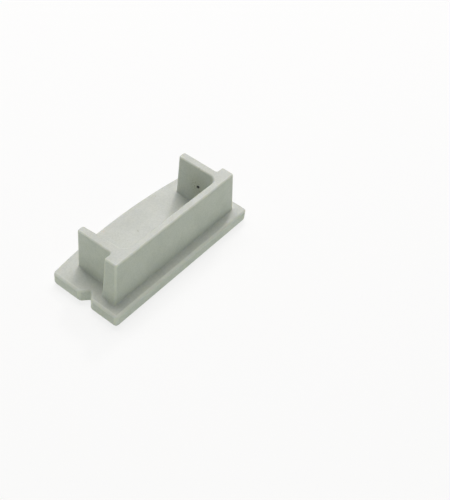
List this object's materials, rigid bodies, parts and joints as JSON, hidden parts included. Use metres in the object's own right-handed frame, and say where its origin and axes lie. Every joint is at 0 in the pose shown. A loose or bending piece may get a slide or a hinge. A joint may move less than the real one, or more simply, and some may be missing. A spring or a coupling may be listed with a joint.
{
  "type": "profile end cap",
  "caption": "Push-in plastic end cap for a flat profile with a crowned cover: a notched plate with a U-shaped plug.",
  "frame": {"origin": "middle of the plate's bounding rectangle, on the flat outer face that the cap lies on", "axes": "+X along the plate's length, +Y from its straight long edge to its crowned one, +Z from the outer face to the plug"},
  "size_m": [0.03, 0.0135, 0.0098],
  "materials": {
    "end_cap": "satin"
  },
  "bodies": {
    "root": {"end_cap": "end_cap"}
  },
  "joints": []
}
